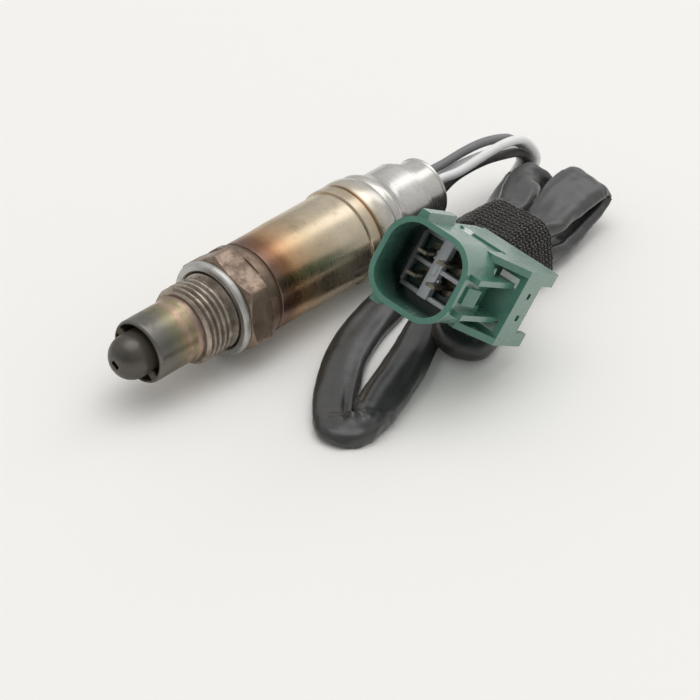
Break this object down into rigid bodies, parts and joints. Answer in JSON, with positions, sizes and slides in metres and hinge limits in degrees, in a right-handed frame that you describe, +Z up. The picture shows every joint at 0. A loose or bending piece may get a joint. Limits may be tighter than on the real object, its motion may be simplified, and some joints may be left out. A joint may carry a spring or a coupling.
{
  "type": "oxygen_sensor",
  "caption": "Heated oxygen sensor with a threaded steel body, stepped metal sleeve, four wires, a folded and tied dark lead and a green moulded plug",
  "frame": {"origin": "On the surface that the sensor lies on, under the middle of the sensor body's own bounding box", "axes": "+X runs along the sensor from its nose to its cable end, +Z is up"},
  "size_m": [0.1353, 0.0687, 0.0445],
  "materials": {
    "housing_steel": "heat tinted bronze brown, satin",
    "tube_steel": "heat darkened grey, satin",
    "gasket_steel": "satin",
    "spring_steel": "satin",
    "shell_steel": "drawn, gold brown heat tint, satin",
    "sleeve_steel": "turned, bright satin",
    "ceramic": "matt ceramic",
    "grommet_rubber": "matt",
    "wire_grey": "satin insulation",
    "wire_black": "satin insulation",
    "wire_white": "satin insulation",
    "sleeve_vinyl": "soft vinyl tube, satin",
    "tie_knit": "coarse knit",
    "plug_green": "moulded, satin",
    "retainer_grey": "moulded, satin",
    "terminal_brass": "tinned brass"
  },
  "bodies": {
    "root": {"sensor_housing": "housing_steel", "outer_protection_tube": "tube_steel", "inner_protection_tube": "tube_steel", "seal_gasket": "gasket_steel", "seat_washer": "spring_steel", "disc_spring": "spring_steel", "support_tube": "ceramic", "sensing_element": "ceramic", "heater_rod": "ceramic", "powder_seal": "ceramic", "contact_holder": "ceramic", "contact_strips": "spring_steel", "holder_spring": "spring_steel", "protective_shell": "shell_steel", "rear_sleeve": "sleeve_steel", "cable_cap": "sleeve_steel", "cable_grommet": "grommet_rubber", "lead_ends": "wire_white", "plug_housing": "plug_green", "terminal_retainer": "retainer_grey", "blade_terminals": "terminal_brass", "wire_seals": "grommet_rubber", "plug_leads": "wire_white", "wire_grey": "wire_grey", "wire_black": "wire_black", "wire_white_front": "wire_white", "wire_white_back": "wire_white", "harness_sleeve": "sleeve_vinyl", "tie_band": "tie_knit"}
  },
  "joints": []
}
